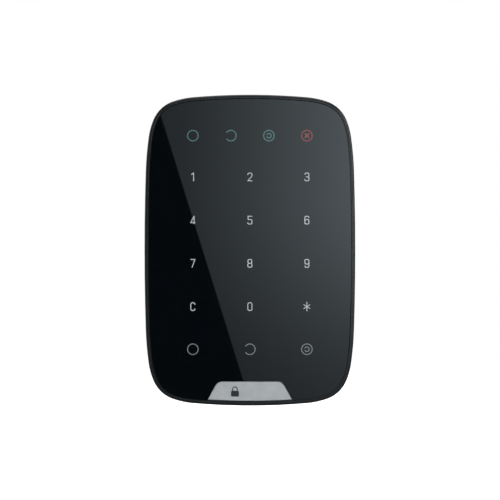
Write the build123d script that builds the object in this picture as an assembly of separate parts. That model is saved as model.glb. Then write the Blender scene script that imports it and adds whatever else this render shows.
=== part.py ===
from build123d import *
import os
from math import sin, cos, tan, atan2, hypot, radians, degrees

# Wall-mounted wireless touch keypad of an alarm system, in millimetres.
# X runs to the right seen from the front, Z up, and Y from the front towards
# the wall.  The wall is the plane y = 0, and the origin is the centre of the
# four wall screws, which is also the centre of the rounded outline.

# ------------------------------------------------------- driving dimensions
HALF_W = 50.85            # half the overall width
HALF_H = 75.0             # half the overall height
ARC_R = (155.0, 33.5, 15.75, 40.5)             # outline: side, shoulder, corner, shoulder radii
ARC_A = (1.8, 8.0, 22.9, 71.1, 85.1)           # outline: normal angles where the arcs meet

Y_RIM = -14.0             # front rim of the housing
Y_LENS = -13.8            # face of the touch lens
Y_LENS_B = -12.6          # back of the lens
Y_LEDGE = -12.45          # ledge that carries the lens
Y_LEDGE_B = -11.25
Y_SPLIT_F = -6.5          # rear edge of the front housing
Y_SPLIT_R = -6.3          # front edge of the rear housing
Y_BACK = -0.7             # rearmost face of the rear housing
Y_RECESS = -1.75          # floor of the bracket recess
Y_WALL_IN = -2.95         # inner face of the rear wall behind the recess
Y_BRACKET = -1.6          # front face of the bracket plate

RIM_W = 1.6               # rim around the lens
RIM_FILLET = 1.0
LENS_INSET = 1.75
LEDGE_INSET = 4.5
REAR_STEP = 0.5           # the rear housing sits this far inside the front one
REAR_FILLET = 4.0
REAR_WALL = 2.6           # inset of the inside of the rear housing

RECESS_X = 36.4           # half width of the bracket recess
RECESS_TOP = 60.4
BRACKET_W, BRACKET_TOP, BRACKET_BOT, BRACKET_R = 72.0, 60.0, -66.0, 8.0

WALL_HOLE_X, WALL_HOLE_Z, WALL_HOLE_R, WALL_CSK_R = 26.0, 50.0, 2.1, 3.1
TAB_X, TAB_LO, TAB_HI = 9.0, -53.0, -23.5      # the break-off tamper tab
TAB_SCREW_Z = -47.5
RELIEF_DEPTH = 0.45       # of the pockets in the back of the bracket
HOOK_X, HOOK_W, HOOK_STEM, HOOK_LIP = 31.0, 6.0, 3.0, 3.0
HOOK_FOOT = 0.8           # how far a hook's foot stands out on each side
HOOK_Z = (33.0, -41.0)    # undersides of the upper and lower hooks
LIFT = 10.0               # how far the keypad slides up off the hooks

CASE_SCREW_X, CASE_SCREW_Z = 41.0, 55.0
CASE_SHANK_R, CASE_PILOT_R, CASE_CLEAR_R = 1.45, 1.47, 1.65
CASE_HEAD_R, CASE_BORE_R = 2.6, 2.9

CELL_X, CELL_Y, CELL_R, CELL_L = 13.5, -7.05, 5.25, 44.5
NUB_L = 0.9               # how far a cell's plus pole stands out
BAY_IN, BAY_OUT = 5.45, 6.25          # half widths inside and outside a battery bay
BAY_LO, BAY_HI = 1.0, 50.5            # ends of each bay, from the middle wall
TERMINAL_T, SPRING_L, SPRING_WIRE_R = 0.4, 4.2, 0.3

COLS = (-27.5, 0.0, 27.5)
ROWS = (35.35, 14.5, -6.35, -27.2, -47.75)
STATUS_Z = 55.25
STATUS_X = (-27.5, -27.5 / 3, 27.5 / 3, 27.5)
STROKE, STROKE_ICON = 0.42, 0.48
DIGIT_H, DIGIT_W = 1.87, 1.0          # half height and half width of a digit's centre line
R_ICON, R_DOT = 2.55, 1.09            # centre lines of an icon's ring and of its inner bow
LEGEND_DEPTH = 0.25

BADGE_TOP, BADGE_HALF_W = -63.4, 15.5  # the badge's upper edge
BADGE_SLANT, BADGE_R = 29.0, 3.9       # lean of its sides, and its corner radius

PCB_INSET, PCB_F, PCB_B = 5.2, -12.4, -11.4

BUTTON_Z, BUTTON_R, BUTTON_HOLE_R, BUTTON_WINDOW_R = 4.2, 2.5, 2.56, 6.5
TAMPER_Z, TAMPER_R, TAMPER_HOLE_R = -37.5, 2.0, 2.06
BUZZER_X, BUZZER_Z, BUZZER_R = -39.0, 4.2, 6.0
LIGHT_HOLE_R = 1.1


# ------------------------------------------------------------------ helpers
def outline(inset=0.0):
    """The rounded outline as a face: a chain of tangent arcs, mirrored four ways.
    The long side and top arcs follow from the overall width and height."""
    ang = (0.0,) + ARC_A + (90.0,)
    c = [cos(radians(a)) for a in ang]
    s = [sin(radians(a)) for a in ang]
    sx = -HALF_W - sum(ARC_R[i - 1] * (c[i + 1] - c[i]) for i in range(1, 5))
    sz = HALF_H - sum(ARC_R[i - 1] * (s[i + 1] - s[i]) for i in range(1, 5))
    a11, a12 = c[1] - c[0], c[6] - c[5]
    a21, a22 = s[1] - s[0], s[6] - s[5]
    det = a11 * a22 - a12 * a21
    radii = ((sx * a22 - a12 * sz) / det,) + ARC_R + ((a11 * sz - a21 * sx) / det,)
    px, pz = HALF_W, 0.0
    centres = []
    for i, r in enumerate(radii):
        cx, cz = px - r * c[i], pz - r * s[i]
        centres.append((cx, cz))
        px, pz = cx + r * c[i + 1], cz + r * s[i + 1]
    edges = []
    r = radii[0] - inset
    cx = centres[0][0]
    edges.append(CenterArc((cx, 0), r, -ang[1], 2 * ang[1]))
    edges.append(CenterArc((-cx, 0), r, 180 - ang[1], 2 * ang[1]))
    r = radii[5] - inset
    cz = centres[5][1]
    edges.append(CenterArc((0, cz), r, ang[5], 180 - 2 * ang[5]))
    edges.append(CenterArc((0, -cz), r, 180 + ang[5], 180 - 2 * ang[5]))
    for i in range(1, 5):
        cx, cz = centres[i]
        r = radii[i] - inset
        sweep_a = ang[i + 1] - ang[i]
        edges.append(CenterArc((cx, cz), r, ang[i], sweep_a))
        edges.append(CenterArc((-cx, cz), r, 180 - ang[i + 1], sweep_a))
        edges.append(CenterArc((-cx, -cz), r, 180 + ang[i], sweep_a))
        edges.append(CenterArc((cx, -cz), r, 360 - ang[i + 1], sweep_a))
    return make_face(edges)


def prism(sketch, y_front, y_back):
    """A plan drawn in X and Z, extruded between two depths."""
    return extrude(Plane.XZ.offset(-y_back) * sketch, amount=y_back - y_front, dir=(0, -1, 0))


def block(x0, x1, y0, y1, z0, z1):
    return Pos((x0 + x1) / 2, (y0 + y1) / 2, (z0 + z1) / 2) * Box(x1 - x0, y1 - y0, z1 - z0)


def rod(x, z, r, y0, y1):
    return prism(Pos(x, z) * Circle(r), y0, y1)


def countersink(x, z, r_hole, r_face, y_face):
    """A 90 degree countersink that opens towards the front."""
    depth = r_face - r_hole
    cone = Pos(x, y_face + depth / 2, z) * Rot(-90, 0, 0) * Cone(r_face, r_hole, depth)
    return cone


def four(x, z):
    """A point and its mirror images across both middle lines."""
    return [(sx * x, sz * z) for sx in (-1, 1) for sz in (-1, 1)]


def far_edges(solid):
    """The edges that lie furthest towards the wall."""
    return solid.edges().group_by(Axis.Y)[-1]


def group(solids):
    return Compound(children=list(solids))


def fuse(first, *others):
    out = first
    for o in others:
        out = out + o
    return out


# strokes of the legends ----------------------------------------------------
def bar(x0, z0, x1, z1, w=STROKE):
    """A straight stroke with round ends."""
    length = hypot(x1 - x0, z1 - z0)
    return (Pos((x0 + x1) / 2, (z0 + z1) / 2)
            * Rot(0, 0, degrees(atan2(z1 - z0, x1 - x0)))
            * SlotCenterToCenter(length, w))


def bow(cx, cz, r, start, size, w=STROKE):
    """A curved stroke with round ends."""
    return SlotArc(CenterArc((cx, cz), r, start, size), w)


def ring(r, w):
    return Circle(r + w / 2) - Circle(r - w / 2)


def path(*points, r=0.75, w=STROKE):
    """A stroke with round ends and rounded corners."""
    return SlotArc(FilletPolyline(*points, radius=r), w)


def loop(z0, z1, half, r=0.75, w=STROKE):
    """A closed stroke round a rounded rectangle."""
    outer = RectangleRounded(2 * half + w, z1 - z0 + w, r + w / 2)
    inner = RectangleRounded(2 * half - w, z1 - z0 - w, r - w / 2)
    return Pos(0, (z0 + z1) / 2) * (outer - inner)


def digit(n):
    """The strokes of one legend, centred on its key."""
    h, w = DIGIT_H, DIGIT_W
    if n == "1":
        return bar(0.35, -h, 0.35, h) + bar(0.35, h, -0.55, h - 0.6)
    if n == "2":
        return path((-w, h - 0.76), (-w, h), (w, h), (w, 0.35), (-w, -h)) + bar(-w, -h, w, -h)
    if n == "3":
        upper = path((-0.93, h - 0.66), (-0.93, h), (0.93, h), (0.93, 0.05), (-0.3, 0.05), r=0.65)
        return upper + path((-0.3, 0.05), (w, 0.05), (w, -h), (-w, -h), (-w, 0.66 - h), r=0.65)
    if n == "4":
        return fuse(bar(0.6, h, -1.05, -1.2), bar(-1.05, -1.2, 1.05, -1.2), bar(0.6, h, 0.6, -1.7))
    if n == "5":
        return fuse(bar(-0.85, h, 0.92, h), bar(-0.85, h, -0.85, 0.3),
                    path((-0.85, 0.3), (w, 0.3), (w, -h), (-w, -h), (-w, 0.66 - h), r=0.6))
    if n in ("6", "9"):
        stem = path((0.92, h - 0.64), (0.92, h), (-0.97, h), (-0.97, -0.8), r=0.6)
        six = loop(-h, 0.3, 0.97, 0.6) + stem
        return six if n == "6" else Rot(0, 0, 180) * six
    if n == "7":
        return bar(-w, h, w, h) + bar(w, h, -0.35, -h)
    if n == "8":
        return loop(0.05, h, 0.92, 0.68) + loop(-h, 0.05, w, 0.72)
    if n == "0":
        return loop(-h, h, w, 0.8)
    if n == "C":
        return path((w, h - 0.85), (w, h), (-w, h), (-w, -h), (w, -h), (w, 0.85 - h), r=0.8)
    if n == "*":
        star = bar(0, -2.1, 0, 2.1, 0.38)
        for turn in (-32, 32):
            star = star + Rot(0, 0, turn) * bar(-1.75, 0, 1.75, 0, 0.36)
        return star


def icon(kind, w=STROKE_ICON):
    """The pieces of one pictogram, centred on its place."""
    if kind == "arm":
        return ring(R_ICON, w)
    if kind == "disarm":
        return bow(0, 0, R_ICON, -140, 280, w)
    if kind == "night":
        return [ring(R_ICON, w), bow(0, 0, R_DOT, -150, 300, w)]
    if kind == "fault":
        cross = bar(-0.85, -0.85, 0.85, 0.85, 0.66) + bar(-0.85, 0.85, 0.85, -0.85, 0.66)
        return [ring(R_ICON, w), cross]


def inlay(sketch, x, z):
    """Legend pieces, flush with the lens and let into it."""
    parts = sketch if isinstance(sketch, list) else [sketch]
    return [prism(Pos(x, z) * p, Y_LENS, Y_LENS + LEGEND_DEPTH) for p in parts]


NODES = {}

# ------------------------------------------------------------ front housing
front = prism(outline(), Y_RIM, Y_SPLIT_F)
front = fillet(front.faces().sort_by(Axis.Y)[0].edges(), RIM_FILLET)
front = chamfer(front.faces().sort_by(Axis.Y)[-1].edges(), 0.3)
front -= prism(outline(RIM_W), Y_RIM - 1, Y_LEDGE)
front -= prism(outline(LEDGE_INSET), Y_LEDGE - 1, Y_LEDGE_B + 1)
front -= prism(outline(RIM_W), Y_LEDGE_B, Y_SPLIT_F + 1)
for x, z in four(CASE_SCREW_X, CASE_SCREW_Z):
    web_x = sorted((x, 52 if x > 0 else -52))
    web = block(*web_x, Y_LEDGE_B, -8.2, z - 1.5, z + 1.5)
    front += rod(x, z, 3.2, Y_LEDGE_B, Y_SPLIT_F) + (web & prism(outline(0.8), -12, -8))
    front -= rod(x, z, CASE_PILOT_R, -10.9, Y_SPLIT_F + 1)
NODES["front_housing"] = front

# ------------------------------------------------------------- rear housing
rear = prism(outline(REAR_STEP), Y_SPLIT_R, Y_BACK)
rear = fillet(rear.faces().sort_by(Axis.Y)[-1].edges(), REAR_FILLET)
rear += prism(outline(1.75) - outline(REAR_WALL), -8.0, Y_SPLIT_R)


def recess_plan(grow):
    top = RECESS_TOP + grow
    half = RECESS_X + grow
    plan = Pos(0, (top - 90) / 2) * Rectangle(2 * half, top + 90)
    return fillet(plan.vertices().group_by(Axis.Y)[-1], BRACKET_R + 0.4 + grow)


rear -= prism(outline(REAR_WALL), -7.0, Y_WALL_IN)
rear -= prism(outline(4.0) - recess_plan(1.2), -3.5, -1.9)
rear -= prism(recess_plan(0.0), Y_RECESS, 1.0)
for x, z in four(CASE_SCREW_X, CASE_SCREW_Z):
    rear += rod(x, z, 4.0, Y_SPLIT_F, -1.5)
    rear -= rod(x, z, CASE_BORE_R, -2.6, 1.0)
    rear -= rod(x, z, CASE_CLEAR_R, -8, 0)
for sx in (-1, 1):
    bx = sx * CELL_X
    rear += block(bx - BAY_OUT, bx + BAY_OUT, -12.0, Y_WALL_IN + 0.1, -BAY_HI - 0.8, BAY_HI + 0.8)
    for sz in (-1, 1):
        z0, z1 = sorted((sz * BAY_LO, sz * BAY_HI))
        rear -= block(bx - BAY_IN, bx + BAY_IN, -13.0, 0.0, z0, z1)
for hx in (-HOOK_X, HOOK_X):
    for hz in HOOK_Z:
        slot_z = (hz - LIFT - 0.3, hz + HOOK_STEM + 0.05)
        rear -= block(hx - 3.6, hx + 3.6, -3.5, -1.0, *slot_z)
rear -= rod(0, TAMPER_Z, TAMPER_HOLE_R, -4, 0)
rear -= rod(0, BUTTON_Z, BUTTON_HOLE_R, -4, 0)
for k in range(4):
    rear -= prism(Pos(-41.0, BUZZER_Z - 3.3 + 2.2 * k) * SlotOverall(5.0, 1.0), -3, 0)
NODES["rear_housing"] = rear

# ------------------------------------------------------------- wall bracket
plate = RectangleRounded(BRACKET_W, BRACKET_TOP - BRACKET_BOT, BRACKET_R)
bracket = prism(Pos(0, (BRACKET_TOP + BRACKET_BOT) / 2) * plate, Y_BRACKET, 0.0)
bracket = chamfer(bracket.faces().sort_by(Axis.Y)[0].edges(), 0.3)
# shallow relief in the back of the plate, between flat bearing ribs
for cx, cz, w, h in ((10.5, 41.0, 18.0, 26.0), (21.5, -5.5, 21.0, 27.0), (16.5, -44.0, 9.0, 32.0)):
    for sx in (-1, 1):
        bracket -= prism(Pos(sx * cx, cz) * RectangleRounded(w, h, 2.0), -RELIEF_DEPTH, 1.0)
# the hooks are separate inserts, pressed in from the back up to a foot
hooks = []
for hx in (-HOOK_X, HOOK_X):
    for hz in HOOK_Z:
        x0, x1 = hx - HOOK_W / 2, hx + HOOK_W / 2
        stem = block(x0, x1, -4.3, -0.1, hz, hz + HOOK_STEM)
        lip = block(x0, x1, -4.3, -3.1, hz, hz + HOOK_STEM + HOOK_LIP)
        lip = chamfer(lip.edges().filter_by(Axis.X).group_by(Axis.Z)[-1], 0.4)
        foot = block(x0 - HOOK_FOOT, x1 + HOOK_FOOT, -0.6, -0.1, hz, hz + HOOK_STEM)
        hooks.append(fuse(stem, lip, foot))
        bracket -= block(x0, x1, -2.0, 1.0, hz, hz + HOOK_STEM)
        bracket -= block(x0 - HOOK_FOOT, x1 + HOOK_FOOT, -0.6, 1.0, hz, hz + HOOK_STEM)
for x, z in four(WALL_HOLE_X, WALL_HOLE_Z) + [(0, TAB_SCREW_Z)]:
    bracket -= rod(x, z, WALL_HOLE_R, -3, 1)
    bracket -= countersink(x, z, WALL_HOLE_R, WALL_CSK_R, Y_BRACKET)
bracket -= rod(0, BUTTON_Z, BUTTON_WINDOW_R, -3, 1)
# the break-off tamper tab: its own screw, a ramp for the plunger, and a
# perforated edge that tears if the keypad is pulled off the wall
for sx in (-1, 1):
    for z0, z1 in ((TAB_LO + 1.0, -39.0), (-37.5, TAB_HI - 1.0)):
        bracket -= prism(Pos(sx * TAB_X, (z0 + z1) / 2) * Rot(0, 0, 90) * SlotOverall(z1 - z0, 1.0), -3, 1)
for z in (TAB_LO, TAB_HI):
    bracket -= prism(Pos(0, z) * SlotOverall(2 * TAB_X - 3.0, 1.0), -3, 1)
ramp_low, ramp_high = TAMPER_Z - 1.05, TAMPER_Z + 12.4
ramp = Polyline((0, Y_BRACKET, ramp_low), (0, -0.45, ramp_high - 1.95), (0, -0.45, ramp_high),
                (0, -2.0, ramp_high), (0, -2.0, ramp_low), close=True)
bracket -= extrude(make_face(ramp), amount=2.6, dir=(1, 0, 0), both=True)
NODES["wall_bracket"] = bracket
NODES["bracket_hooks"] = group(hooks)

# -------------------------------------------------- legends, badge and lens
digits = []
for legends, z in zip(("123", "456", "789", "C0*"), ROWS):
    for legend, x in zip(legends, COLS):
        digits += inlay(digit(legend), x, z)
mode_keys = []
for kind, x in zip(("arm", "disarm", "night"), COLS):
    mode_keys += inlay(icon(kind), x, ROWS[4])
status = []
for kind, x in zip(("arm", "disarm", "night"), STATUS_X):
    status += inlay(icon(kind), x, STATUS_Z)
fault = inlay(icon("fault"), STATUS_X[3], STATUS_Z)


def badge_plan(grow):
    """Trapezoid with rounded top corners; it runs out past the bottom edge."""
    slope = tan(radians(BADGE_SLANT))
    top_z = BADGE_TOP + grow
    half = BADGE_HALF_W + grow * (1 / cos(radians(BADGE_SLANT)) - slope)
    low_z = -80.0
    low = half + slope * (top_z - low_z)
    face = make_face(Polyline((-half, top_z), (half, top_z), (low, low_z), (-low, low_z), close=True))
    return fillet(face.vertices().group_by(Axis.Y)[-1], BADGE_R + grow)


lens = prism(outline(LENS_INSET), Y_LENS, Y_LENS_B)
lens = fillet(lens.faces().sort_by(Axis.Y)[0].edges(), 0.3)
lens -= prism(badge_plan(0.1), Y_LENS - 1, Y_LENS_B + 1)
for s in digits + mode_keys + status + fault:
    lens -= s
NODES["touch_lens"] = lens
NODES["key_digits"] = group(digits)
NODES["mode_key_icons"] = group(mode_keys)
NODES["status_icons"] = group(status)
NODES["fault_icon"] = group(fault)

badge = prism(badge_plan(0.0) & outline(2.4), Y_LENS, Y_LENS_B)
badge = chamfer(badge.faces().sort_by(Axis.Y)[0].edges(), 0.15)
# a padlock: its body, and a bow with two short legs
lock = fuse(Pos(0, -2.2) * RectangleRounded(3.8, 2.8, 0.5), bow(0, 0, 1.1, 0, 180, 0.5),
            bar(-1.1, 0, -1.1, -1.2, 0.5), bar(1.1, 0, 1.1, -1.2, 0.5))
mark = prism(Pos(-7.2, -67.0) * lock, Y_LENS, Y_LENS + 0.2)
badge -= mark
NODES["badge_plate"] = badge
NODES["badge_mark"] = mark

NODES["lens_tape"] = prism(outline(1.9) - outline(4.4), Y_LENS_B, Y_LEDGE)
NODES["light_guide_film"] = prism(outline(PCB_INSET), Y_LENS_B, PCB_F)

# -------------------------------------------------------------- electronics
board = prism(outline(PCB_INSET), PCB_F, PCB_B)
bay_slot = RectangleRounded(2 * BAY_OUT + 0.6, 2 * (BAY_HI + 1.7), 1.5)
for x in (-CELL_X, CELL_X):
    board -= prism(Pos(x, 0) * bay_slot, PCB_F - 1, PCB_B + 1)
key_spots = [(x, z) for z in ROWS for x in COLS]
status_spots = [(x, STATUS_Z) for x in STATUS_X]
for x, z in key_spots + status_spots:
    board -= rod(x, z, LIGHT_HOLE_R, PCB_F - 1, PCB_B + 1)
NODES["touch_pcb"] = board


def led(x, z):
    """A light on the back of the board, with its lens reaching into the board's hole."""
    body = block(x - 1.5, x + 1.5, PCB_B, PCB_B + 0.7, z - 0.75, z + 0.75)
    return body + rod(x, z, 0.95, PCB_B - 0.8, PCB_B)


def chip(x, z, size):
    """A square chip with a bevelled top."""
    body = block(x - size / 2, x + size / 2, PCB_B, PCB_B + 0.9, z - size / 2, z + size / 2)
    return chamfer(body.faces().sort_by(Axis.Y)[-1].edges(), 0.2)


NODES["key_leds"] = group(led(x, z) for x, z in key_spots)
NODES["status_leds"] = group(led(x, z) for x, z in status_spots)

# two capacitors, the main chip, the touch chip, the radio chip and its can
NODES["capacitors"] = group(fillet(far_edges(rod(37.0, z, 3.0, PCB_B, -6.2)), 0.4) for z in (-13.0, -21.0))
NODES["microcontroller"] = chip(33.0, 4.2, 7.0)
NODES["touch_controller"] = chip(-33.0, -17.0, 6.0)
NODES["radio_chip"] = block(30.5, 35.5, PCB_B, PCB_B + 0.8, 22.5, 27.5)
can = block(26.0, 40.0, PCB_B, PCB_B + 2.2, 19.5, 30.5)
can = fillet(can.edges().filter_by(Axis.Y), 0.8)
NODES["radio_shield"] = can - block(26.3, 39.7, PCB_B - 1, PCB_B + 1.9, 19.8, 30.2)
NODES["antenna"] = fuse(block(-16, 16, -9.1, -8.8, 62.9, 65.1),
                        block(-16, -15.7, PCB_B, -8.8, 62.9, 65.1),
                        block(4.0, 4.3, PCB_B, -8.8, 62.9, 65.1))

# sounder: a moulded cup with a sound hole, and the disc inside it
cup = fillet(far_edges(rod(BUZZER_X, BUZZER_Z, BUZZER_R, PCB_B, -7.4)), 0.5)
cup -= rod(BUZZER_X, BUZZER_Z, BUZZER_R - 0.7, PCB_B - 1, -8.1)
cup -= rod(BUZZER_X, BUZZER_Z, 1.5, -9, -7)
NODES["buzzer_cup"] = cup
NODES["buzzer_disc"] = rod(BUZZER_X, BUZZER_Z, BUZZER_R - 0.75, -9.7, -9.5)

# ---------------------------------------------------------- battery contacts
cells, terminals, springs = [], [], []
rise = SPRING_L - 2 * SPRING_WIRE_R - 0.04
coil = Helix(pitch=rise / 3.5, height=rise, radius=3.9, cone_angle=-22)
section = Plane(origin=coil @ 0, z_dir=coil % 0) * Circle(SPRING_WIRE_R)
cell_spring = sweep(section, path=coil, is_frenet=True)
for sx in (-1, 1):
    for sz in (-1, 1):
        bx = sx * CELL_X
        z0, z1 = sorted((sz * BAY_LO, sz * BAY_HI))
        up = sx                       # the right column has its plus ends up, the left one down
        zn = z0 if up > 0 else z1     # wall at the minus end
        zp = z1 if up > 0 else z0     # wall at the plus end
        for zw, d in ((zn, up), (zp, -up)):
            a, b = sorted((zw, zw + d * TERMINAL_T))
            terminals.append(block(bx - 4.6, bx + 4.6, CELL_Y - 4.2, CELL_Y + 4.2, a, b))
        base = zn + up * (TERMINAL_T + SPRING_L)
        can_l = CELL_L - NUB_L
        body = Pos(bx, CELL_Y, base + up * can_l / 2) * Cylinder(CELL_R, can_l)
        body = fillet(body.edges(), 0.5)
        nub = Pos(bx, CELL_Y, base + up * (can_l + NUB_L / 2)) * Cylinder(1.9, NUB_L)
        cells.append(body + nub)
        start = zn + up * (TERMINAL_T + SPRING_WIRE_R + 0.02)
        turn = Rot(0, 0, 0) if up > 0 else Rot(180, 0, 0)
        springs.append(Pos(bx, CELL_Y, start) * turn * cell_spring)
NODES["battery_cells"] = group(cells)
NODES["battery_terminals"] = group(terminals)
NODES["battery_springs"] = group(springs)

# ------------------------------------------------------------- power button
cap = fillet(far_edges(rod(0, BUTTON_Z, BUTTON_R, -3.9, -2.0)), 0.3)
cap = fuse(cap, rod(0, BUTTON_Z, 3.3, -3.9, -3.0), rod(0, BUTTON_Z, 1.5, -7.2, -3.8))
NODES["power_button"] = cap
NODES["power_switch_stem"] = rod(0, BUTTON_Z, 1.5, -9.2, -7.2)
NODES["power_switch"] = (block(-3, 3, PCB_B, -7.9, BUTTON_Z - 3, BUTTON_Z + 3)
                         - rod(0, BUTTON_Z, 1.85, -9.9, -7))

# ------------------------------------------------------------ tamper switch
plunger = rod(0, TAMPER_Z, TAMPER_R, -8.6, -1.65)
plunger = fillet(far_edges(plunger), 1.0)
NODES["tamper_plunger"] = plunger + rod(0, TAMPER_Z, 2.9, -4.6, -4.0)
NODES["tamper_switch"] = (block(-3.5, 3.5, PCB_B, -7.0, TAMPER_Z - 3.5, TAMPER_Z + 3.5)
                          - rod(0, TAMPER_Z, 2.35, -11.1, -6))
t_coil = Helix(pitch=0.6, height=2.1, radius=1.5)
t_wire = sweep(Plane(origin=t_coil @ 0, z_dir=t_coil % 0) * Circle(0.17), path=t_coil, is_frenet=True)
NODES["tamper_spring"] = Pos(0, -11.1 + 0.2, TAMPER_Z) * Rot(-90, 0, 0) * t_wire

# ------------------------------------------------------ case screws, label
screws = []
for x, z in four(CASE_SCREW_X, CASE_SCREW_Z):
    head = fillet(far_edges(rod(x, z, CASE_HEAD_R, -2.6, -0.8)), 0.6)
    shank = rod(x, z, CASE_SHANK_R, -9.4, -2.6)
    tip = Pos(x, -9.8, z) * Rot(90, 0, 0) * Cone(CASE_SHANK_R, 0.4, 0.8)
    screw = fuse(head, shank, tip)
    for turn in (45, 135):
        screw -= prism(Pos(x, z) * Rot(0, 0, turn) * Rectangle(3.0, 0.75), -1.9, 0)
    screws.append(screw)
NODES["case_screws"] = group(screws)
NODES["rear_label"] = prism(Pos(0, 64.8) * RectangleRounded(44.0, 5.6, 0.8), Y_BACK, Y_BACK + 0.1)

# ------------------------------------------------------------------- output
os.makedirs("parts", exist_ok=True)
for name, shape in NODES.items():
    export_step(shape, f"parts/{name}.step")
    print(name, len(shape.solids()), round(shape.volume, 2))
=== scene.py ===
from math import radians
import bpy
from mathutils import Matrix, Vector

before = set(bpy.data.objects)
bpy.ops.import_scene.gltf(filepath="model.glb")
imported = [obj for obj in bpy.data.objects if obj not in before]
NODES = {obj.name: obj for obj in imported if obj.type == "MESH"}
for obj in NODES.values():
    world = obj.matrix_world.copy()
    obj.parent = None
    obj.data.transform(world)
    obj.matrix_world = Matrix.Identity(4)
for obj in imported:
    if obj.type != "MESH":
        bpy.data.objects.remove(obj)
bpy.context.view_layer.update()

MM = 0.001


# ------------------------------------------------------------- node helpers
class Graph:
    """A material's node tree with a Principled shader, in object coordinates (metres)."""

    def __init__(self, name):
        self.mat = bpy.data.materials.new(name)
        self.mat.use_nodes = True
        self.tree = self.mat.node_tree
        self.tree.nodes.clear()
        out = self.add("ShaderNodeOutputMaterial")
        self.bsdf = self.add("ShaderNodeBsdfPrincipled")
        self.link(self.bsdf, "BSDF", out, "Surface")
        self.coord = self.add("ShaderNodeTexCoord")

    def add(self, kind, **values):
        node = self.tree.nodes.new(kind)
        for key, value in values.items():
            setattr(node, key, value)
        return node

    def link(self, a, a_socket, b, b_socket):
        self.tree.links.new(a.outputs[a_socket], b.inputs[b_socket])

    def noise(self, scale, detail=3.0, rough=0.55, stretch=None):
        node = self.add("ShaderNodeTexNoise")
        node.inputs["Scale"].default_value = scale
        node.inputs["Detail"].default_value = detail
        node.inputs["Roughness"].default_value = rough
        if stretch:
            mapping = self.add("ShaderNodeMapping")
            mapping.inputs["Scale"].default_value = stretch
            self.link(self.coord, "Object", mapping, "Vector")
            self.link(mapping, "Vector", node, "Vector")
        else:
            self.link(self.coord, "Object", node, "Vector")
        return node

    def remap(self, source, socket, lo, hi, out_lo, out_hi):
        node = self.add("ShaderNodeMapRange")
        for key, value in (("From Min", lo), ("From Max", hi), ("To Min", out_lo), ("To Max", out_hi)):
            node.inputs[key].default_value = value
        self.link(source, socket, node, "Value")
        return node

    def mix(self, factor, factor_socket, a, b):
        """Mixes two colours, each a value or a (node, socket) pair."""
        node = self.add("ShaderNodeMix", data_type="RGBA")
        self.tree.links.new(factor.outputs[factor_socket], node.inputs[0])
        for index, value in ((6, a), (7, b)):
            if isinstance(value[0], bpy.types.Node):
                self.tree.links.new(value[0].outputs[value[1]], node.inputs[index])
            else:
                node.inputs[index].default_value = (*value, 1.0)
        return node

    def bump(self, source, socket, height, strength=1.0, below=None):
        node = self.add("ShaderNodeBump")
        node.inputs["Distance"].default_value = height
        node.inputs["Strength"].default_value = strength
        self.link(source, socket, node, "Height")
        if below is not None:
            self.link(below, "Normal", node, "Normal")
        return node


def shade(colour, factor):
    """A colour made darker or lighter."""
    return tuple(min(1.0, c * factor) for c in colour)


def look(name, colour, rough, metallic=0.0, spread=0.12, rough_spread=0.06, blotch=70.0,
         grain=2600.0, height=0.012 * MM, specular=0.5, worn=None, stretch=None):
    """The general finish: blotchy colour, uneven gloss and a fine surface grain."""
    g = Graph(name)
    large = g.noise(blotch, 4.0, 0.6)
    fine = g.noise(grain, 2.0, 0.5, stretch)
    tint = g.remap(large, "Fac", 0.3, 0.7, 0.0, 1.0)
    colour_mix = g.mix(tint, "Result", shade(colour, 1 - spread), shade(colour, 1 + spread))
    last = (colour_mix, 2)
    if worn:
        edge = g.add("ShaderNodeBevel", samples=4)
        edge.inputs["Radius"].default_value = 0.5 * MM
        geo = g.add("ShaderNodeNewGeometry")
        dot = g.add("ShaderNodeVectorMath", operation="DOT_PRODUCT")
        g.link(edge, "Normal", dot, 0)
        g.link(geo, "Normal", dot, 1)
        mask = g.remap(dot, "Value", 0.985, 0.90, 0.0, 0.55)
        wear = g.mix(mask, "Result", last, worn)
        last = (wear, 2)
    g.tree.links.new(last[0].outputs[last[1]], g.bsdf.inputs["Base Color"])
    gloss = g.remap(large, "Fac", 0.3, 0.7, rough - rough_spread, rough + rough_spread)
    g.link(gloss, "Result", g.bsdf, "Roughness")
    relief = g.bump(fine, "Fac", height)
    g.link(relief, "Normal", g.bsdf, "Normal")
    g.bsdf.inputs["Metallic"].default_value = metallic
    g.bsdf.inputs["Specular IOR Level"].default_value = specular
    return g.mat


def dress(mat, *names):
    """Gives one material to each named CAD node."""
    for name in names:
        obj = NODES[name]
        if not obj.material_slots:
            obj.data.materials.append(mat)
        for slot in obj.material_slots:
            slot.material = mat


# ---------------------------------------------------------------- materials
# moulded plastic: satin in front, with a coarser spark-eroded texture behind
moulded = look("moulded_black", (0.0038, 0.0050, 0.0053), 0.22, spread=0.12, rough_spread=0.03,
               grain=3200.0, height=0.006 * MM, specular=0.49, worn=(0.013, 0.015, 0.015))
dress(moulded, "front_housing")
rear = look("rear_black", (0.0095, 0.0108, 0.0112), 0.40, spread=0.10, rough_spread=0.06,
            grain=1500.0, height=0.035 * MM, specular=0.42, worn=(0.036, 0.038, 0.038))
dress(rear, "rear_housing")
bracket = look("bracket_black", (0.026, 0.028, 0.028), 0.54, spread=0.05, rough_spread=0.06,
               grain=1300.0, height=0.05 * MM, specular=0.35, worn=(0.075, 0.078, 0.078))
dress(bracket, "wall_bracket", "bracket_hooks")


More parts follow.
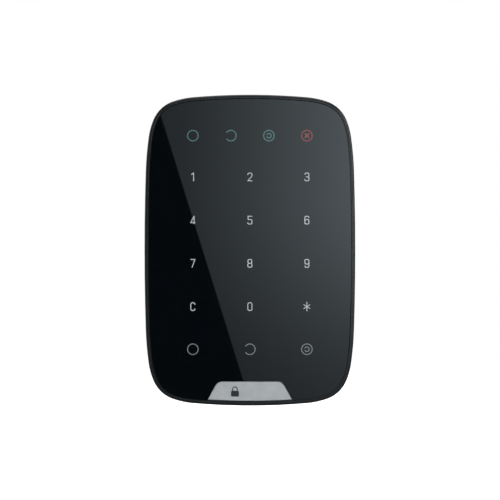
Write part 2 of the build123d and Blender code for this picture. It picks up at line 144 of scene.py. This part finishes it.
def polished(name, colour, rough=0.006, spread=0.06):
    """Polished face: almost flat, with the faintest smears and moulding waviness."""
    g = Graph(name)
    smear = g.noise(38.0, 5.0, 0.62)
    tint = g.remap(smear, "Fac", 0.35, 0.65, 0.0, 1.0)
    colour_mix = g.mix(tint, "Result", shade(colour, 1 - spread), shade(colour, 1 + spread))
    g.tree.links.new(colour_mix.outputs[2], g.bsdf.inputs["Base Color"])
    gloss = g.remap(smear, "Fac", 0.35, 0.70, rough, rough + 0.006)
    g.link(gloss, "Result", g.bsdf, "Roughness")
    wave = g.noise(9.0, 1.0, 0.4)
    relief = g.bump(wave, "Fac", 0.002 * MM, 0.5)
    g.link(relief, "Normal", g.bsdf, "Normal")
    g.bsdf.inputs["IOR"].default_value = 1.5
    return g.mat


dress(polished("face_black", (0.0012, 0.0020, 0.0027)), "touch_lens")
dress(polished("legend_white", (0.315, 0.335, 0.345)), "key_digits")
dress(polished("legend_grey", (0.112, 0.123, 0.128)), "mode_key_icons")
dress(polished("legend_teal", (0.050, 0.114, 0.117)), "status_icons")
dress(polished("legend_red", (0.150, 0.027, 0.024)), "fault_icon")

# satin silver badge with a fine brushed grain
dress(look("badge_silver", (0.314, 0.330, 0.336), 0.40, metallic=0.25, spread=0.07, rough_spread=0.06,
           blotch=260.0, grain=1900.0, height=0.010 * MM, stretch=(0.35, 1.0, 1.4)), "badge_plate")
dress(look("badge_ink", (0.012, 0.016, 0.022), 0.4, grain=3000.0, height=0.004 * MM), "badge_mark")

dress(look("tape_black", (0.015, 0.015, 0.016), 0.7, grain=1500.0), "lens_tape")
dress(look("film_white", (0.78, 0.78, 0.76), 0.35, spread=0.03), "light_guide_film")


def circuit_board():
    """Green solder mask over a grid of tracks, with a glass weave below."""
    g = Graph("board_green")
    weave = g.noise(900.0, 2.0, 0.5)
    brick = g.add("ShaderNodeTexBrick", offset=0.37, squash=1.0)
    brick.inputs["Scale"].default_value = 150.0
    brick.inputs["Mortar Size"].default_value = 0.08
    turn = g.add("ShaderNodeMapping")
    turn.inputs["Rotation"].default_value = (radians(90), 0, 0)
    g.link(g.coord, "Object", turn, "Vector")
    g.link(turn, "Vector", brick, "Vector")
    mask = g.mix(weave, "Fac", (0.010, 0.085, 0.040), (0.020, 0.115, 0.060))
    tracks = g.mix(brick, "Fac", (mask, 2), (0.035, 0.19, 0.10))
    g.tree.links.new(tracks.outputs[2], g.bsdf.inputs["Base Color"])
    gloss = g.remap(weave, "Fac", 0.3, 0.7, 0.28, 0.40)
    g.link(gloss, "Result", g.bsdf, "Roughness")
    relief = g.bump(brick, "Fac", 0.03 * MM)
    g.link(relief, "Normal", g.bsdf, "Normal")
    return g.mat


dress(circuit_board(), "touch_pcb")
dress(look("led_body", (0.80, 0.79, 0.68), 0.3, spread=0.06, blotch=500.0), "key_leds", "status_leds")
dress(look("capacitor_can", (0.62, 0.62, 0.64), 0.3, metallic=1.0, blotch=300.0), "capacitors")
dress(look("chip_black", (0.022, 0.022, 0.024), 0.55, blotch=500.0, grain=4000.0),
      "microcontroller", "touch_controller", "radio_chip")
dress(look("shield_tin", (0.66, 0.65, 0.62), 0.34, metallic=1.0, blotch=220.0, stretch=(0.3, 1, 2)),
      "radio_shield", "antenna")
dress(look("sounder_black", (0.02, 0.02, 0.02), 0.45, blotch=300.0), "buzzer_cup")
dress(look("disc_brass", (0.62, 0.44, 0.18), 0.32, metallic=1.0, blotch=300.0), "buzzer_disc")


def cell_sleeve():
    """Printed battery sleeve: a plain band at each plus end, and satin gunmetal between."""
    g = Graph("cell_sleeve")
    sep = g.add("ShaderNodeSeparateXYZ")
    g.link(g.coord, "Object", sep, "Vector")
    wave = g.add("ShaderNodeMath", operation="PINGPONG")
    g.link(sep, "Z", wave, 0)
    wave.inputs[1].default_value = 24.75 * MM
    band = g.add("ShaderNodeMath", operation="GREATER_THAN")
    g.link(wave, "Value", band, 0)
    band.inputs[1].default_value = 17.0 * MM
    fine = g.noise(1200.0, 2.0)
    body = g.mix(fine, "Fac", (0.045, 0.050, 0.056), (0.065, 0.070, 0.078))
    both = g.mix(band, "Value", (body, 2), (0.42, 0.27, 0.10))
    g.tree.links.new(both.outputs[2], g.bsdf.inputs["Base Color"])
    gloss = g.remap(fine, "Fac", 0.3, 0.7, 0.24, 0.34)
    g.link(gloss, "Result", g.bsdf, "Roughness")
    relief = g.bump(fine, "Fac", 0.004 * MM)
    g.link(relief, "Normal", g.bsdf, "Normal")
    g.bsdf.inputs["Metallic"].default_value = 0.5
    return g.mat


dress(cell_sleeve(), "battery_cells")
nickel = look("contact_nickel", (0.70, 0.68, 0.63), 0.25, metallic=1.0, blotch=400.0, height=0.004 * MM)
dress(nickel, "battery_terminals", "battery_springs", "tamper_spring")
dress(look("button_grey", (0.14, 0.15, 0.15), 0.42, blotch=300.0, grain=3500.0), "power_button")
dress(look("switch_black", (0.03, 0.03, 0.03), 0.45, blotch=300.0), "power_switch", "tamper_switch")
dress(look("plunger_white", (0.72, 0.72, 0.69), 0.38, spread=0.05, blotch=250.0),
      "power_switch_stem", "tamper_plunger")
dress(look("screw_steel", (0.30, 0.30, 0.31), 0.35, metallic=1.0, blotch=500.0, grain=3000.0),
      "case_screws")
dress(look("label_silver", (0.36, 0.37, 0.375), 0.38, spread=0.04, blotch=120.0, grain=2500.0,
           height=0.004 * MM), "rear_label")


# -------------------------------------------------------------------- stage
def empty_material(name):
    """A material with no nodes yet, and its node tree."""
    mat = bpy.data.materials.new(name)
    mat.use_nodes = True
    mat.node_tree.nodes.clear()
    return mat, mat.node_tree


def light_only(obj):
    """Keeps a panel out of sight: it shows only in reflections."""
    obj.visible_camera = False
    obj.visible_diffuse = False
    obj.visible_shadow = False


FLOOR_Z = -0.12
FLOOR_SIZE = 8.0
bpy.ops.mesh.primitive_plane_add(size=FLOOR_SIZE, location=(0, 0, FLOOR_Z))
floor = bpy.context.object
floor.name = "studio_floor"
floor.data.materials.append(look("floor_pale", (0.95, 0.95, 0.95), 0.8, spread=0.01, specular=0.1))
floor.visible_glossy = False
floor_shader = floor.active_material.node_tree.nodes["Principled BSDF"]
floor_shader.inputs["Emission Color"].default_value = (1, 1, 1, 1)
floor_shader.inputs["Emission Strength"].default_value = 0.32

# The gradient board that the polished face mirrors.  It hangs behind the
# camera; the slanted left edge gives the diagonal on the face.
BOARD_Y = -2.21
MIRROR = 2.1             # board coordinate over face coordinate, for this camera
slanted_edge = [(-55.7, 105.8), (-43.4, 66.4), (-3.2, -62.9), (9.4, -103.4)]
corners = slanted_edge + [(190.0, -103.4), (190.0, 150.0), (-57.0, 150.0)]
mesh = bpy.data.meshes.new("gradient_board")
mesh.from_pydata([(x * MIRROR * MM, BOARD_Y, z * MIRROR * MM) for x, z in corners],
                 [], [tuple(range(len(corners)))])
board = bpy.data.objects.new("gradient_board", mesh)
bpy.context.scene.collection.objects.link(board)
board_mat, tree = empty_material("gradient_board")
coord = tree.nodes.new("ShaderNodeTexCoord")
sep = tree.nodes.new("ShaderNodeSeparateXYZ")
tree.links.new(coord.outputs["Object"], sep.inputs[0])


def ramp(axis, lo, hi, out_lo, out_hi, smooth=False):
    """A value that changes along the board, between two places on the face in millimetres."""
    node = tree.nodes.new("ShaderNodeMapRange")
    node.interpolation_type = "SMOOTHSTEP" if smooth else "LINEAR"
    node.clamp = smooth
    lo, hi = lo * MIRROR * MM, hi * MIRROR * MM
    for key, value in (("From Min", lo), ("From Max", hi), ("To Min", out_lo), ("To Max", out_hi)):
        node.inputs[key].default_value = value
    tree.links.new(sep.outputs[axis], node.inputs["Value"])
    return node


def calc(operation, a, b):
    """A node's value combined with a number."""
    node = tree.nodes.new("ShaderNodeMath")
    node.operation = operation
    tree.links.new(a.outputs[0], node.inputs[0])
    node.inputs[1].default_value = b
    return node


# the upper part brightens steeply to the right, the lower part only a little
across = calc("POWER", calc("MAXIMUM", ramp("X", -40.0, 45.0, 0.0, 1.0), 0.0), 1.35)
upper = calc("ADD", calc("MULTIPLY", across, 1.47), 0.48)
lower = ramp("X", 0.0, 45.0, 0.37, 0.58)
rise = ramp("Z", -80.0, 35.0, 0.0, 1.0, smooth=True)
blend = tree.nodes.new("ShaderNodeMix")
tree.links.new(rise.outputs[0], blend.inputs[0])
tree.links.new(lower.outputs[0], blend.inputs[2])
tree.links.new(upper.outputs[0], blend.inputs[3])
glow = tree.nodes.new("ShaderNodeEmission")
glow.inputs["Color"].default_value = (0.88, 1.0, 1.08, 1.0)
tree.links.new(blend.outputs[0], glow.inputs["Strength"])
out = tree.nodes.new("ShaderNodeOutputMaterial")
tree.links.new(glow.outputs[0], out.inputs["Surface"])
board.data.materials.append(board_mat)
light_only(board)


BAND_LEAN = 0.45         # slant of the soft bands on a reflector
BAND_WIDTH = 0.16        # half the spacing of the bands, as a share of the panel


def reflector(name, place, size, low, high, aim=(0, 0, 0)):
    """A dim panel of soft slanted bands, seen only in glossy faces from other viewing angles."""
    bpy.ops.mesh.primitive_plane_add(size=1.0, location=place)
    panel = bpy.context.object
    panel.name = name
    panel.scale = (size[0], size[1], 1.0)
    panel.rotation_euler = (Vector(aim) - Vector(place)).to_track_quat("Z", "Y").to_euler()
    mat, panel_tree = empty_material(name)
    new, join = panel_tree.nodes.new, panel_tree.links.new
    where = new("ShaderNodeTexCoord")
    split = new("ShaderNodeSeparateXYZ")
    join(where.outputs["Object"], split.inputs[0])
    lean = new("ShaderNodeMath")
    lean.operation = "MULTIPLY_ADD"
    join(split.outputs["X"], lean.inputs[0])
    lean.inputs[1].default_value = BAND_LEAN
    join(split.outputs["Y"], lean.inputs[2])
    fold = new("ShaderNodeMath")
    fold.operation = "PINGPONG"
    join(lean.outputs[0], fold.inputs[0])
    fold.inputs[1].default_value = BAND_WIDTH
    grade = new("ShaderNodeMapRange")
    for key, value in (("From Min", 0.0), ("From Max", BAND_WIDTH), ("To Min", low), ("To Max", high)):
        grade.inputs[key].default_value = value
    join(fold.outputs[0], grade.inputs["Value"])
    shine = new("ShaderNodeEmission")
    join(grade.outputs[0], shine.inputs["Strength"])
    end = new("ShaderNodeOutputMaterial")
    join(shine.outputs[0], end.inputs["Surface"])
    panel.data.materials.append(mat)
    light_only(panel)


reflector("reflector_left", (-1.7, -1.9, -0.4), (1.6, 3.4), 0.06, 0.85)
reflector("reflector_right", (1.7, -1.9, -0.4), (1.6, 3.4), 0.06, 0.85)
reflector("reflector_above", (0.0, -1.4, 2.2), (2.4, 1.4), 0.10, 1.0)
reflector("reflector_below", (0.0, -1.4, -2.2), (2.4, 1.8), 0.06, 0.75)
reflector("reflector_behind", (-0.8, 1.9, 0.5), (2.2, 2.6), 0.10, 0.9)


def softbox(name, place, size, energy, aim=(0, 0, 0)):
    """A rectangular area light that faces the object."""
    data = bpy.data.lights.new(name, "AREA")
    data.shape = "RECTANGLE"
    data.size, data.size_y = size
    data.energy = energy
    obj = bpy.data.objects.new(name, data)
    obj.location = place
    obj.rotation_euler = (Vector(aim) - Vector(place)).to_track_quat("-Z", "Y").to_euler()
    bpy.context.scene.collection.objects.link(obj)
    return obj


softbox("softbox_right", (1.2, -1.0, 0.5), (0.8, 1.2), 12.0)
softbox("softbox_top", (0.0, -0.3, 1.4), (1.4, 0.8), 10.0)
softbox("softbox_left", (-1.3, 0.2, 0.4), (0.6, 1.0), 4.0)
back = softbox("softbox_back", (-0.7, 1.5, 0.8), (1.0, 1.0), 14.0)
back.visible_glossy = False      # the panel behind gives the soft reflections there

world = bpy.data.worlds.new("studio")
bpy.context.scene.world = world
world.use_nodes = True
wt = world.node_tree
wt.nodes.clear()
rays = wt.nodes.new("ShaderNodeLightPath")
backdrop = wt.nodes.new("ShaderNodeBackground")
backdrop.inputs["Color"].default_value = (1, 1, 1, 1)
strength = wt.nodes.new("ShaderNodeMapRange")
for key, value in (("To Min", 0.75), ("To Max", 1.0)):
    strength.inputs[key].default_value = value
wt.links.new(rays.outputs["Is Camera Ray"], strength.inputs["Value"])
wt.links.new(strength.outputs[0], backdrop.inputs["Strength"])
wout = wt.nodes.new("ShaderNodeOutputWorld")
wt.links.new(backdrop.outputs[0], wout.inputs["Surface"])
world.cycles_visibility.glossy = False

# ------------------------------------------------------------------- camera
DISTANCE = 2.0           # from the widest outline of the housing
FRAME_W = 0.24160        # what the picture is wide at that distance
cam_data = bpy.data.cameras.new("camera")
cam_data.sensor_width = 36.0
cam_data.lens = 36.0 * DISTANCE / FRAME_W
cam_data.clip_start = 0.05
cam_data.clip_end = 20.0
camera = bpy.data.objects.new("camera", cam_data)
camera.location = (0.00006, -0.010 - DISTANCE, 0.0001)
camera.rotation_euler = (radians(90), 0, 0)
bpy.context.scene.collection.objects.link(camera)
bpy.context.scene.camera = camera
bpy.context.scene.view_settings.view_transform = "Standard"
